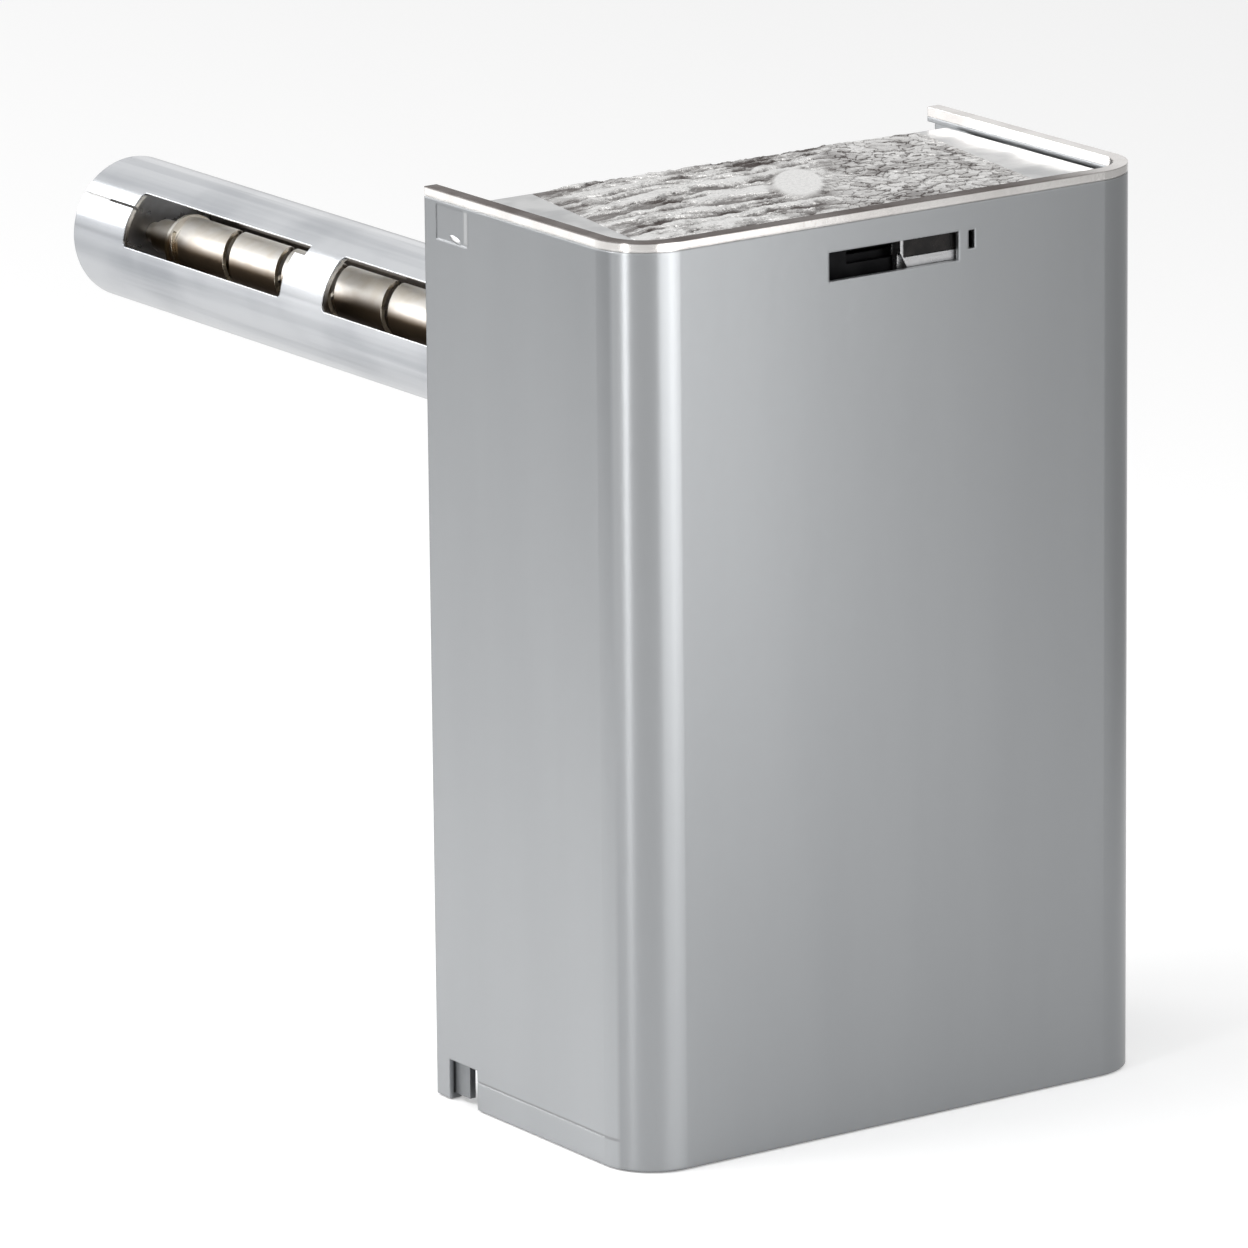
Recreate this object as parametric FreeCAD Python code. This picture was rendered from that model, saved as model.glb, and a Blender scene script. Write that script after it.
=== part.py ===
import FreeCAD, Part
import math
import os
from FreeCAD import Vector

os.makedirs("parts", exist_ok=True)

# Fan and limit control for a warm-air furnace. A pressed steel case carries a slotted probe that
# reaches into the duct. A bimetal helix in the probe turns a shaft, and the shaft turns a dial whose
# three setting tabs work two snap switches. A slider in the front runs the fan by hand.
# Millimetres. The origin is on the probe axis in the plane of the duct wall, which the case's rear
# edges meet. +Y runs into the duct and +Z is up.

# Driving sizes of the case
case_width = 108.0
case_height = 160.0
case_depth = 60.4
axis_height = 114.0         # probe axis above the foot of the case
corner_radius = 10.0        # outer, on the two upright front corners
cover_sheet = 0.9
rim_width = 2.5             # folded lips of the cover, and the bright strip on the top one
rim_thickness = 1.7
rim_groove = 0.3            # shadow line under the rim's outer edge
foot_round = 0.4

# Chassis
chassis_sheet = 1.2
chassis_side_gap = 0.3      # between the chassis and the cover's side walls
back_inset = 7.0            # air gap between the duct wall and the back plate
shelf_drop = 2.4            # top shelf below the rim
shelf_margin = 1.2          # open gap between the shelf and the cover's lip
hook = (8.0, 1.3, 0.1)      # tab under the front lip: width, reach under it, clearance
hook_place = 30.0
tray_height = 4.9           # top of the lower shelf above the foot
ear_height = 20.0
ear_front = -8.2            # front edge of the ears, which run back to the duct wall
relief = (9.0, 11.0, 7.0)   # corner relief at the foot: width, height, and depth of the tray's cut
mount_from_side = 10.8      # mounting holes from the chassis's side edges
mount_low = 15.0            # lower mounting holes above the foot
mount_high = 8.5            # upper mounting holes below the top
mount_hole = 4.8
ear_drop = 10.0             # top of the upper ears below the top shelf
knockout = 11.1             # radius of the cable knockout in the lower shelf
knockout_web = 0.1          # cut left round the knockout
frame_screw = 1.7           # radius of the screws in the back plate
ground_place = (20.0, 22.0)  # ground screw: across, and above the foot
cover_screw = 1.95          # radius of the screws that hold the cover
cover_screw_row = 9.0       # behind the case's front
screw_places = (-30.0, 30.0)
screw_tab = (12.0, 14.0)    # width, and reach from the front

# Openings in the cover
slot_left = -13.7
slot_right = 13.2
slot_height = 5.0
slot_below_top = 6.2
slit_width = 1.3
slit_height = 3.2
slit_bridge = 2.0           # sheet left between the slot and the slit
notch = (8.6, 7.2)          # low rear notch, along the side and up it
notch_from_rear = 3.7
detent = (9.2, 6.0, 0.12)   # pressed rectangle: along, up, deep
detent_from_rear = 3.4
detent_below_top = 2.4
crease_height = 5.0
crease_depth = 0.08
crease_width = 0.3

# Probe
tube_radius = 13.25
tube_wall = 1.0
tube_reach = 178.2          # from the duct wall to the tip
tube_inside = 12.4          # length inside the case, measured from the duct wall
window_length = 53.0
window_chord = 10.6
window_rows = 3
window_elevation = 28.0     # first row, above level on the left side
window_corner = 1.0
tip_band = 16.7             # plain tube beyond the outer windows
bridge_band = 13.5          # plain tube between the windows
seam_width = 0.5
seam_turn = 9.0             # degrees above the window's middle
flange_radius = 23.0
flange_sheet = 1.5
collar_wall = 1.0           # collar drawn up on the flange, which locates the control in its hole
collar_reach = 5.0          # past the duct wall's plane
rivet_circle = 18.5
rivet_radius = 1.6
rivet_head = (3.0, 1.2)

# Bimetal element
ribbon_width = 14.4
ribbon_thickness = 0.8
ribbon_radius = 4.5         # inner
ribbon_pitch = 16.6
helix_start = 42.0
helix_end = 158.0
stub_radius = 3.2
stub_end = 168.3
stub_chamfer = 0.8
collar = (5.7, 0.8)         # radius and thickness of the bright disc at the element's tip
anchor_place = 171.0
anchor_thickness = 2.0
anchor_head = 1.0
plug_length = 10.0          # of the post's plug and of the hub, inside the ends of the helix
lance = (3.2, 2.0)          # lug cut from each bridge: along the tube, and round it

# Shaft and dial
shaft_radius = 2.0
shaft_in_hub = 8.0          # reach of the shaft into the helix's hub
dial_screw_hole = 8.0       # depth of the tapped hole in the shaft's front end
fixed_fit = 0.05            # radial clearance of pieces that stay put
running_fit = 0.05          # radial clearance of pieces that turn or slide
bearing_thickness = 4.0
inner_bearing = -12.0
outer_bearing = 16.0
dial_radius = 29.0
dial_sheet = 1.2
dial_from_front = 19.2      # front face of the dial behind the case's front
hub_radius = 6.0
hub_reach = (3.2, 5.2)      # hub in front of the dial's face, and behind it
tick_count = 37
tick_step = 7.5             # degrees
tick_start = -45.0
tick_margin = 1.0
tick = (3.0, 0.4, 0.15)     # length, width, depth
tab_sheet = 0.8
tab_gap = 0.2
tab_ring = 9.5
tab_width = 5.0
finger_gap = 0.7            # between the dial's edge and the finger bent over it
finger_sheet = 1.0
finger_reach = 8.2          # behind the dial's face
tab_angles = {"fan_off_tab": 215.0, "fan_on_tab": 245.0, "limit_tab": 300.0}
dial_washer = (8.0, 0.8)
dial_screw_head = (4.0, 1.8)
small_thread = 1.25

# Switch gear
bracket_behind_dial = 15.2
bracket_side_gap = 1.8      # between the bracket and the chassis's side edges
bracket_top = 30.5
bracket_bottom = -20.0
bracket_window = 10.0
bracket_legs = (20.0, 40.0)  # half widths of the upper and the lower leg
bracket_feet = (9.5, 8.0)   # their folded feet, up and down the back plate
bracket_screws_across = (14.0, 30.0)
bracket_screws_up = (5.0, 4.0)
nose_gap = 0.5              # between a tab's finger and a lever's follower
nose_radius = 1.5
nose_height = -2.0
lever_step = 0.6            # follower's middle inside the lever's inner face
lever_sheet = 1.0
lever_width = 8.0
lever_behind_dial = 3.2
lever_foot = -5.0
pin_beyond_lever = 2.6
pin_height = 28.0
pin_radius = 1.5
knuckle = 2.6
switch_beyond_lever = 3.6
switch_behind_dial = 1.2
switch_bottom = -16.0
switch_top = 22.0
plunger_radius = 1.5
plunger_height = 10.0
plunger_gap = 0.25
plunger_length = 4.2
plunger_hole = 3.5

# Manual slider
rail_from_front = 4.2
rail_sheet = 0.8
rail_ends = (-22.0, 20.0)
rail_foot = 31.0
rail_flange = 8.2           # depth of the flange welded under the top shelf
slider_front_gap = 0.3      # behind the cover's front wall
slider_left = 1.9
slider_right = 14.6
slider_travel = 12.0
cap_share = 1.7             # bright lip of the carrier that shows in the slot
cap_overlap = 1.2           # how far cap and carrier reach past the slot's edges
carrier_sheet = 1.2
cap_sheet = 1.0
body_depth = 1.4
neck = (5.0, 10.0, 1.0)     # left, right, half height
neck_clearance = 0.1
keeper_sheet = 1.0
keeper_wing = 2.0           # keeper beyond the neck at each end
keeper_half = 3.0           # half its height, and the width of the arm that it carries
arm_sheet = 0.8
arm_left = -21.0
pusher = (23.5, 26.5)       # lower and upper edge
pusher_behind_dial = 9.2

# Terminals
block_top = -52.0
block_bottom = -76.0
block_behind_dial = 5.2
block_side_gap = 0.8        # between a block and the chassis's side edge
block_width = 16.5
strap_spread = 8.0          # between the two straps of a switch
strap_width = 3.0
strap_sheet = 0.8
pad_width = 6.4
pad_height = 14.0
terminal_height = -66.0
block_screw_height = -57.0

# Foil on the top shelf
foil_ends = (-37.0, 36.0)
foil_thickness = 1.0
foil_margin = 0.4

# Levels and planes worked out from the sizes above
foot = -axis_height
top = case_height - axis_height
lip_top = top - rim_thickness
lip_under = lip_top - cover_sheet
shelf_top = top - shelf_drop
shelf_under = shelf_top - chassis_sheet
tray_top = foot + tray_height
tray_under = tray_top - chassis_sheet
front = -case_depth
front_inner = front + cover_sheet
plate_rear = -back_inset
plate_front = plate_rear - chassis_sheet
chassis_half = case_width / 2 - cover_sheet - chassis_side_gap
tube_bore = tube_radius - tube_wall
slot_top = top - slot_below_top
slot_bottom = slot_top - slot_height
dial_face = front + dial_from_front
hub_front = dial_face - hub_reach[0]
hub_rear = dial_face + hub_reach[1]
finger = (dial_radius + finger_gap, dial_radius + finger_gap + finger_sheet)
finger_rear = dial_face + finger_reach
bracket_front = dial_face + bracket_behind_dial
bracket_half = chassis_half - bracket_side_gap
nose_across = finger[1] + nose_gap + nose_radius + 0.1
lever_face = nose_across + lever_step
lever_near = dial_face + lever_behind_dial
lever_far = lever_near + lever_width
pin_across = lever_face + pin_beyond_lever
plunger_y = (lever_near + lever_far) / 2
switch_inner = lever_face + switch_beyond_lever
switch_outer = bracket_half
switch_front = dial_face + switch_behind_dial
rail_front = front + rail_from_front
pusher_rear = dial_face + pusher_behind_dial
block_front = dial_face + block_behind_dial
block_outer = chassis_half - block_side_gap
block_inner = block_outer - block_width
strap_middle = (switch_inner + switch_outer) / 2
strap_places = (strap_middle - strap_spread / 2, strap_middle + strap_spread / 2)

screw_row = front + cover_screw_row
knockout_row = front / 2
upper_screw = bracket_top + bracket_screws_up[0]
lower_screw = bracket_bottom - bracket_screws_up[1]
bracket_screws_at = [(-bracket_screws_across[0], upper_screw), (bracket_screws_across[0], upper_screw),
                     (-bracket_screws_across[1], lower_screw), (bracket_screws_across[1], lower_screw)]
block_screws_at = [(-strap_middle, block_screw_height), (strap_middle, block_screw_height)]
ground_at = [(ground_place[0], foot + ground_place[1])]
carrier_front = front_inner + slider_front_gap
body_front = carrier_front + carrier_sheet
body_rear = body_front + body_depth
keeper_front = rail_front + rail_sheet + neck_clearance
keeper_rear = keeper_front + keeper_sheet
lip_line = slot_bottom + cap_share
slot_middle = (slot_bottom + slot_top) / 2

ALONG_X = Vector(1, 0, 0)
ALONG_Y = Vector(0, 1, 0)
ALONG_Z = Vector(0, 0, 1)
ORIGIN = Vector(0, 0, 0)
PAST = 1.0                  # how far a cutter runs past the face that it cuts


def box(x0, x1, y0, y1, z0, z1):
    low = Vector(min(x0, x1), min(y0, y1), min(z0, z1))
    return Part.makeBox(abs(x1 - x0), abs(y1 - y0), abs(z1 - z0), low)


def rod(radius, y0, y1, x=0.0, z=0.0):
    """Round bar along Y."""
    return Part.makeCylinder(radius, y1 - y0, Vector(x, y0, z), ALONG_Y)


def stud(radius, z0, z1, x, y):
    """Round bar along Z."""
    return Part.makeCylinder(radius, z1 - z0, Vector(x, y, z0), ALONG_Z)


def ring(outer, inner, y0, y1, x=0.0, z=0.0):
    return rod(outer, y0, y1, x, z).cut(rod(inner, y0 - PAST, y1 + PAST, x, z))


def turned(shape, degrees):
    """Turned about the probe axis, counted from +X towards +Z."""
    copy = shape.copy()
    copy.rotate(ORIGIN, ALONG_Y, -degrees)
    return copy


def fused(shapes):
    return shapes[0].fuse(shapes[1:]).removeSplitter()


def screw_front(x, z, seat, tip, shank, head):
    """Slotted pan-head screw driven from the front, with its head's rear face at seat."""
    shape = rod(head[0], seat - head[1], seat, x, z).fuse(rod(shank, seat, tip, x, z))
    slot = box(x - head[0], x + head[0], seat - head[1] - PAST, seat - head[1] * 0.5, z - 0.4, z + 0.4)
    return shape.cut(slot)


def export(node, shape):
    shape.exportStep("parts/" + node + ".step")


def case_block(inset, z0, z1, rear):
    """Block with the case's outline, inset on the front and sides, its front corners rounded."""
    half = case_width / 2 - inset
    block = box(-half, half, front + inset, rear, z0, z1)
    corners = []
    for edge in block.Edges:
        middle = edge.CenterOfMass
        if abs(middle.y - front - inset) < 1e-6 and abs(abs(middle.x) - half) < 1e-6:
            corners.append(edge)
    return block.makeFillet(corner_radius - inset, corners)


# Cover: one sheet wrapped round the front and both sides, with a lip folded inwards all round its
# top and its foot.
def cover_shell():
    shell = case_block(0, foot, lip_top, 0)
    outer_foot = []
    for edge in shell.Edges:
        low = edge.BoundBox
        if abs(low.ZMax - foot) < 1e-6 and low.YMin < -PAST:
            outer_foot.append(edge)
    shell = shell.makeFillet(foot_round, outer_foot)
    inside = case_block(cover_sheet, foot + cover_sheet, lip_top - cover_sheet, PAST)
    between_lips = case_block(rim_width, foot - PAST, lip_top + PAST, PAST)
    shell = shell.cut(inside).cut(between_lips)

    for x in screw_places:
        shell = shell.fuse(cover_tab(x))
        shell = shell.cut(stud(cover_screw + 0.15, foot, tray_under, x, screw_row))

    shell = shell.cut(box(slot_left, slot_right, front - PAST, front_inner + PAST, slot_bottom, slot_top))
    slit_left = slot_right + slit_bridge
    slit_top = slot_top - 0.1
    slit = box(slit_left, slit_left + slit_width, front - PAST, front_inner + PAST,
               slit_top - slit_height, slit_top)
    shell = shell.cut(slit)

    for side in (-1, 1):
        wall = side * case_width / 2
        inner = side * (case_width / 2 - rim_width - PAST)
        rear = -notch_from_rear
        shell = shell.cut(box(wall + side, inner, rear - notch[0], rear, foot - PAST, foot + notch[1]))
        crease = box(wall + side, wall - side * crease_depth,
                     front + corner_radius, -notch_from_rear - notch[0],
                     foot + crease_height, foot + crease_height + crease_width)
        shell = shell.cut(crease)
        high = top - detent_below_top
        pressed = box(wall + side, wall - side * detent[2], -detent_from_rear - detent[0],
                      -detent_from_rear, high - detent[1], high)
        shell = shell.cut(pressed)
    return shell.removeSplitter()


def cover_tab(x):
    """Part of the lower lip, raised so that a cover screw's head stays above the foot."""
    left = x - screw_tab[0] / 2
    right = x + screw_tab[0] / 2
    back_edge = front + screw_tab[1]
    shelf = box(left, right, front + cover_sheet, back_edge, tray_under - cover_sheet, tray_under)
    riser = box(left, right, front + rim_width - cover_sheet, front + rim_width, foot, tray_under)
    return shelf.fuse(riser)


# Bright strip on the cover's top lip. Its outer lower edge is cut back, which leaves a shadow line.
def cover_rim():
    strip = case_block(0, lip_top, top, 0)
    step = case_block(0, lip_top - PAST, lip_top + rim_groove, PAST)
    core = case_block(rim_groove, lip_top - PAST, lip_top + rim_groove, PAST)
    strip = strip.cut(step.cut(core))
    return strip.cut(case_block(rim_width, lip_top - PAST, top + PAST, PAST))


# Chassis: back plate with a shelf folded forwards at its top and foot, and four ears folded back to
# the duct wall.
def chassis():
    plate = box(-chassis_half, chassis_half, plate_front, plate_rear, tray_under, shelf_under)
    shelf = case_block(rim_width + shelf_margin, shelf_under, shelf_top, plate_rear)
    tray = case_block(cover_sheet + chassis_side_gap, tray_under, tray_top, plate_rear)
    shape = fused([plate, shelf, tray])
    hook_front = front + rim_width - hook[1]
    hook_top = lip_under - hook[2]
    for x in (-hook_place, hook_place):
        tab = box(x - hook[0] / 2, x + hook[0] / 2, hook_front, front + rim_width + shelf_margin + PAST,
                  hook_top - chassis_sheet, hook_top)
        shape = shape.fuse(tab)
    for side in (-1, 1):
        outer = side * chassis_half
        inner = side * (chassis_half - chassis_sheet)
        cut = box(outer, side * (chassis_half - relief[0]), plate_rear - relief[2], plate_rear + PAST,
                  tray_under - PAST, foot + relief[1])
        shape = shape.cut(cut)
        low = foot + cover_sheet
        low_ear = box(outer, inner, ear_front, 0, low, low + ear_height)
        high = shelf_under - ear_drop
        high_ear = box(outer, inner, ear_front, 0, high - ear_height, high)
        shape = shape.fuse([low_ear, high_ear])
    shape = shape.cut(rod(tube_radius + 0.1, plate_front - PAST, plate_rear + PAST))
    for x, z in mount_places():
        shape = shape.cut(rod(mount_hole / 2, plate_front - PAST, plate_rear + PAST, x, z))
    for x, z in rivet_places():
        shape = shape.cut(rod(rivet_radius + fixed_fit, plate_front - PAST, plate_rear + PAST, x, z))
    for x, z in bracket_screws_at + block_screws_at + ground_at:
        shape = shape.cut(rod(frame_screw + fixed_fit, plate_front - PAST, plate_rear + PAST, x, z))
    for x in screw_places:
        shape = shape.cut(stud(cover_screw + fixed_fit, tray_under - PAST, tray_top + PAST, x, screw_row))
    shape = shape.cut(stud(knockout, tray_under - PAST, tray_top + PAST, 0, knockout_row))
    return shape.removeSplitter()


def mount_places():
    half = chassis_half - mount_from_side
    low = foot + mount_low
    high = top - mount_high
    return [(-half, low), (half, low), (-half, high), (half, high)]


def rivet_places():
    places = []
    for angle in (90, 210, 330):
        turn = math.radians(angle)
        places.append((rivet_circle * math.cos(turn), rivet_circle * math.sin(turn)))
    return places


# Probe tube: rolled steel with two windows in each row, and an open seam from the tip to the first
# window of the row above the left side.
def window(near, far):
    half = window_chord / 2
    cutter = box(tube_bore / 2, tube_radius + PAST, near, far, -half, half)
    corners = []
    for edge in cutter.Edges:
        if abs(edge.tangentAt(edge.FirstParameter).x) > 0.9:
            corners.append(edge)
    return cutter.makeFillet(window_corner, corners)


def probe_tube():
    tube = ring(tube_radius, tube_bore, -tube_inside, tube_reach)
    outer_far = tube_reach - tip_band
    outer_near = outer_far - window_length
    inner_far = outer_near - bridge_band
    inner_near = inner_far - window_length
    first = 180.0 - window_elevation
    half = window_chord / 2
    for row in range(window_rows):
        angle = first + row * 360.0 / window_rows
        tube = tube.cut(turned(window(outer_near, outer_far), angle))
        tube = tube.cut(turned(window(inner_near, inner_far), angle))
        # a lug was lanced from the bridge beside the outer window
        cutter = box(tube_bore / 2, tube_radius + PAST, outer_near - lance[0], outer_near + PAST,
                     -half, -half + lance[1])
        tube = tube.cut(turned(cutter, angle))
    seam = box(tube_bore / 2, tube_radius + PAST, outer_far - PAST, tube_reach + PAST,
               -seam_width / 2, seam_width / 2)
    return tube.cut(turned(seam, first - seam_turn)).removeSplitter()


# Flange that carries the tube on the back plate, with a collar drawn up round the tube, and the
# rivets through both.
def probe_flange():
    disc = rod(flange_radius, plate_rear, plate_rear + flange_sheet)
    sleeve = rod(tube_radius + fixed_fit + collar_wall, plate_rear, collar_reach)
    shape = disc.fuse(sleeve).cut(rod(tube_radius + fixed_fit, plate_rear - PAST, collar_reach + PAST))
    for x, z in rivet_places():
        shape = shape.cut(rod(rivet_radius + fixed_fit, plate_rear - PAST, 0, x, z))
    return shape


def flange_rivets():
    rivets = []
    for x, z in rivet_places():
        rear = plate_rear + flange_sheet
        shank = rod(rivet_radius, plate_front, rear, x, z)
        outer_head = rod(rivet_head[0], rear, rear + rivet_head[1], x, z)
        inner_head = rod(rivet_head[0], plate_front - rivet_head[1], plate_front, x, z)
        rivets.append(fused([shank, outer_head, inner_head]))
    return Part.makeCompound(rivets)


# Bimetal ribbon wound into a helix. It is held at the tip and turns the shaft at its other end.
def bimetal_helix():
    travel = helix_end - helix_start - ribbon_width
    middle = ribbon_radius + ribbon_thickness / 2
    path = Part.makeHelix(ribbon_pitch, travel, middle)
    half = ribbon_width / 2
    outer = ribbon_radius + ribbon_thickness
    corners = [Vector(ribbon_radius, 0, -half), Vector(outer, 0, -half),
               Vector(outer, 0, half), Vector(ribbon_radius, 0, half)]
    section = Part.makePolygon(corners + corners[:1])
    ribbon = Part.Wire(path.Edges).makePipeShell([section], True, True)
    ribbon.rotate(ORIGIN, ALONG_X, -90)
    ribbon.translate(Vector(0, helix_start + half, 0))
    return ribbon


def anchor_post():
    plug = rod(ribbon_radius - fixed_fit, helix_end - plug_length, helix_end)
    disc = rod(collar[0], helix_end, helix_end + collar[1])
    stub = rod(stub_radius, helix_end, stub_end)
    stub = stub.makeChamfer(stub_chamfer, [e for e in stub.Edges if abs(e.CenterOfMass.y - stub_end) < 1e-6])
    rear = anchor_place + anchor_thickness
    neck_bar = rod(shaft_radius, stub_end - PAST, rear)
    head = rod(stub_radius, rear, rear + anchor_head)
    return fused([plug, disc, stub, neck_bar, head])


def anchor_plate():
    return ring(tube_bore - fixed_fit, shaft_radius + fixed_fit, anchor_place,
                anchor_place + anchor_thickness)


def helix_hub():
    return ring(ribbon_radius - fixed_fit, shaft_radius + fixed_fit, helix_start,
                helix_start + plug_length)


def shaft_bearings():
    discs = []
    for place in (inner_bearing, outer_bearing):
        discs.append(ring(tube_bore - fixed_fit, shaft_radius + running_fit, place,
                          place + bearing_thickness))
    return Part.makeCompound(discs)


def shaft():
    bar = rod(shaft_radius, hub_front, helix_start + shaft_in_hub)
    return bar.cut(rod(small_thread + fixed_fit, hub_front - PAST, hub_front + dial_screw_hole))


# Dial: a disc with marks pressed into its edge, and no figures, on a turned hub.
def dial():
    disc = rod(dial_radius, dial_face, dial_face + dial_sheet)
    hub = rod(hub_radius, hub_front, hub_rear)
    shape = disc.fuse(hub).cut(rod(shaft_radius + fixed_fit, hub_front - PAST, hub_rear + PAST))
    marks = []
    mark_end = dial_radius - tick_margin
    mark = box(mark_end - tick[0], mark_end, dial_face - PAST, dial_face + tick[2],
               -tick[1] / 2, tick[1] / 2)
    for number in range(tick_count):
        marks.append(turned(mark, tick_start + number * tick_step))
    shape = shape.cut(Part.makeCompound(marks))
    place = (dial_face + dial_sheet + hub_rear) / 2
    hole = Part.makeCylinder(small_thread + fixed_fit, hub_radius, Vector(0, place, 0), ALONG_X)
    return shape.cut(hole).removeSplitter()


def hub_screw():
    place = (dial_face + dial_sheet + hub_rear) / 2
    start = shaft_radius + fixed_fit
    return Part.makeCylinder(small_thread, hub_radius - start - 0.2, Vector(start, place, 0), ALONG_X)


def setting_tab(layer, angle):
    """Ring on the dial's hub, an arm across the dial and a finger bent back over its edge."""
    rear = dial_face - tab_gap - layer * (tab_sheet + tab_gap)
    face = rear - tab_sheet
    half = tab_width / 2
    plate = rod(tab_ring, face, rear)
    arm = box(hub_radius, finger[1], face, rear, -half, half)
    bent = box(finger[0], finger[1], face, finger_rear, -half, half)
    shape = fused([plate, arm, bent]).cut(rod(hub_radius + running_fit, face - PAST, rear + PAST))
    return turned(shape, angle)


def dial_washer_ring():
    return ring(dial_washer[0], small_thread + fixed_fit, hub_front - dial_washer[1], hub_front)


def dial_screw():
    return screw_front(0, 0, hub_front - dial_washer[1], hub_front + 6.0, small_thread, dial_screw_head)


# Pointer: a fixed strip over the dial's top edge, with its end bent down in front of the dial.
def dial_pointer():
    above = finger[1] + 1.5
    face = hub_front - dial_washer[1] - dial_screw_head[1] - 0.8
    foot_plate = box(-4, 4, bracket_front - 1.0, bracket_front, bracket_top - 6.5, above + 0.8)
    reach = box(-1.5, 1.5, face, bracket_front, above, above + 0.8)
    corners = [Vector(-1.5, face, above + 0.8), Vector(1.5, face, above + 0.8), Vector(1.5, face, 27.0),
               Vector(0, face, 23.0), Vector(-1.5, face, 27.0)]
    blade = Part.Face(Part.makePolygon(corners + corners[:1])).extrude(Vector(0, 0.7, 0))
    return fused([foot_plate, reach, blade])


# Bracket: a plate that stands off the back plate on two folded legs and carries both switches.
def switch_bracket():
    rear = bracket_front + chassis_sheet
    plate = box(-bracket_half, bracket_half, bracket_front, rear, bracket_bottom, bracket_top)
    upper = bracket_legs[0]
    lower = bracket_legs[1]
    foot_front = plate_front - chassis_sheet
    upper_leg = box(-upper, upper, bracket_front, plate_front, bracket_top - chassis_sheet, bracket_top)
    upper_foot = box(-upper, upper, foot_front, plate_front, bracket_top, bracket_top + bracket_feet[0])
    lower_leg = box(-lower, lower, bracket_front, plate_front, bracket_bottom,
                    bracket_bottom + chassis_sheet)
    lower_foot = box(-lower, lower, foot_front, plate_front, bracket_bottom - bracket_feet[1],
                     bracket_bottom)
    shape = fused([plate, upper_leg, upper_foot, lower_leg, lower_foot])
    shape = shape.cut(rod(bracket_window, bracket_front - PAST, rear + PAST))
    for x, z in bracket_screws_at:
        shape = shape.cut(rod(frame_screw + fixed_fit, plate_front - 3.0, plate_front + PAST, x, z))
    for side in (-1, 1):
        shape = shape.cut(rod(pin_radius + fixed_fit, bracket_front - PAST, rear + PAST,
                              side * pin_across, pin_height))
    return shape


def frame_screws(places, seat, tip):
    return Part.makeCompound([screw_front(x, z, seat, tip, frame_screw, (3.2, 2.0)) for x, z in places])


def switch_case(side):
    case = box(side * switch_inner, side * switch_outer, switch_front, bracket_front,
               switch_bottom, switch_top)
    case = case.makeFillet(0.8, [e for e in case.Edges if abs(e.CenterOfMass.y - switch_front) < 1e-6])
    start = Vector(side * switch_inner, plunger_y, plunger_height)
    bore = Part.makeCylinder(plunger_radius + running_fit, plunger_hole, start, Vector(side, 0, 0))
    return case.cut(bore)


def plunger(side):
    start = lever_face + lever_sheet + plunger_gap
    return Part.makeCylinder(plunger_radius, plunger_length,
                             Vector(side * start, plunger_y, plunger_height), Vector(side, 0, 0))


def lever(side):
    near = lever_near
    far = lever_far
    x = side * pin_across
    strip = box(side * lever_face, side * (lever_face + lever_sheet), near, far, lever_foot,
                pin_height + 1.5)
    bridge = box(side * lever_face, x, near, far, pin_height - 1.5, pin_height + 1.5)
    barrel = rod(knuckle, near, far, x, pin_height)
    follower = rod(nose_radius, near + 2.0, far - 2.0, side * nose_across, nose_height)
    shape = fused([strip, bridge, barrel, follower])
    return shape.cut(rod(pin_radius + running_fit, near - PAST, far + PAST, x, pin_height))


def lever_pins():
    pins = []
    for side in (-1, 1):
        shank = rod(pin_radius, lever_near - 0.2, bracket_front + chassis_sheet, side * pin_across,
                    pin_height)
        head = rod(pin_radius + 1.0, lever_near - 1.0, lever_near - 0.2, side * pin_across, pin_height)
        pins.append(shank.fuse(head).removeSplitter())
    return Part.makeCompound(pins)


# Rail: an angle welded under the top shelf, with the slot that guides the slider's neck.
def slider_rail():
    blade = box(rail_ends[0], rail_ends[1], rail_front, rail_front + rail_sheet, rail_foot, shelf_under)
    flange = box(rail_ends[0], rail_ends[1], rail_front, rail_front + rail_flange,
                 shelf_under - rail_sheet, shelf_under)
    high = neck[2] + neck_clearance
    guide = box(neck[0] - slider_travel - neck_clearance, neck[1] + neck_clearance,
                rail_front - PAST, rail_front + rail_sheet + PAST, slot_middle - high, slot_middle + high)
    return blade.fuse(flange).cut(guide).removeSplitter()


# Slider: a bright carrier with a slanting end, a dark cap above its lip, a neck through the rail and
# a keeper behind it.
def fan_slider():
    low = slot_bottom - cap_overlap
    high = slot_top + cap_overlap
    outline = [Vector(slider_left, 0, high), Vector(slider_left, 0, lip_line + 0.8),
               Vector(slider_left + 2.0, 0, low), Vector(slider_right, 0, low),
               Vector(slider_right, 0, lip_line), Vector(slider_left + 0.6, 0, lip_line),
               Vector(slider_left + 0.6, 0, high)]
    for corner in outline:
        corner.y = carrier_front
    face = Part.Face(Part.makePolygon(outline + outline[:1]))
    carrier = face.extrude(Vector(0, carrier_sheet, 0))
    body = box(slider_left + 0.2, slider_right - 1.0, body_front, body_rear, low + 0.2, high - 0.2)
    neck_bar = box(neck[0], neck[1], body_rear, keeper_front, slot_middle - neck[2], slot_middle + neck[2])
    keeper = box(neck[0] - keeper_wing, neck[1] + keeper_wing, keeper_front, keeper_rear,
                 slot_middle - keeper_half, slot_middle + keeper_half)
    return fused([carrier, body, neck_bar, keeper])


def slider_cap():
    high = slot_top + cap_overlap
    return box(slider_left + 0.7, slider_right, body_front - cap_sheet, body_front, lip_line + 0.1, high)


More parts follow.
